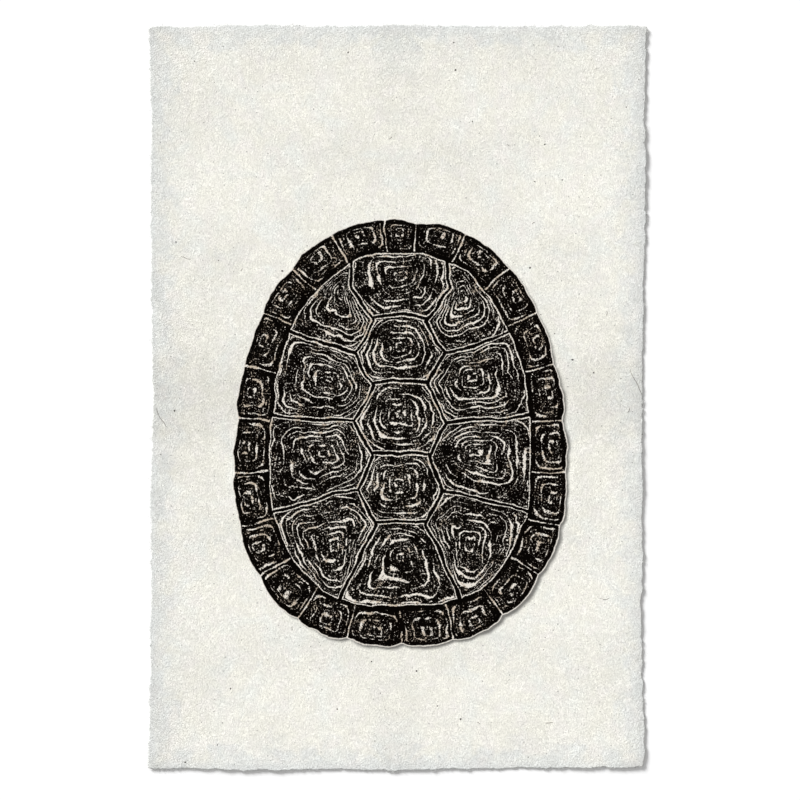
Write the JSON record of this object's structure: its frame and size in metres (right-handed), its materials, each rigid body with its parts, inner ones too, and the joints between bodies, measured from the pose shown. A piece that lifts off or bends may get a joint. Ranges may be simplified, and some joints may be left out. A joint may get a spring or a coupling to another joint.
{
  "type": "art print on handmade paper",
  "caption": "Upright unframed sheet of thick off-white handmade paper with four ragged deckle edges, printed with a dark turtle shell figure, lying face up.",
  "frame": {"origin": "under the middle of the sheet's outer box, on the surface that it lies on", "axes": "+Z out of the printed face, +Y to the head of the sheet, +X to the right of the printed figure"},
  "size_m": [0.511, 0.7654, 0.0032],
  "materials": {
    "paper": "matte"
  },
  "bodies": {
    "root": {"paper_sheet": "paper"}
  },
  "joints": []
}
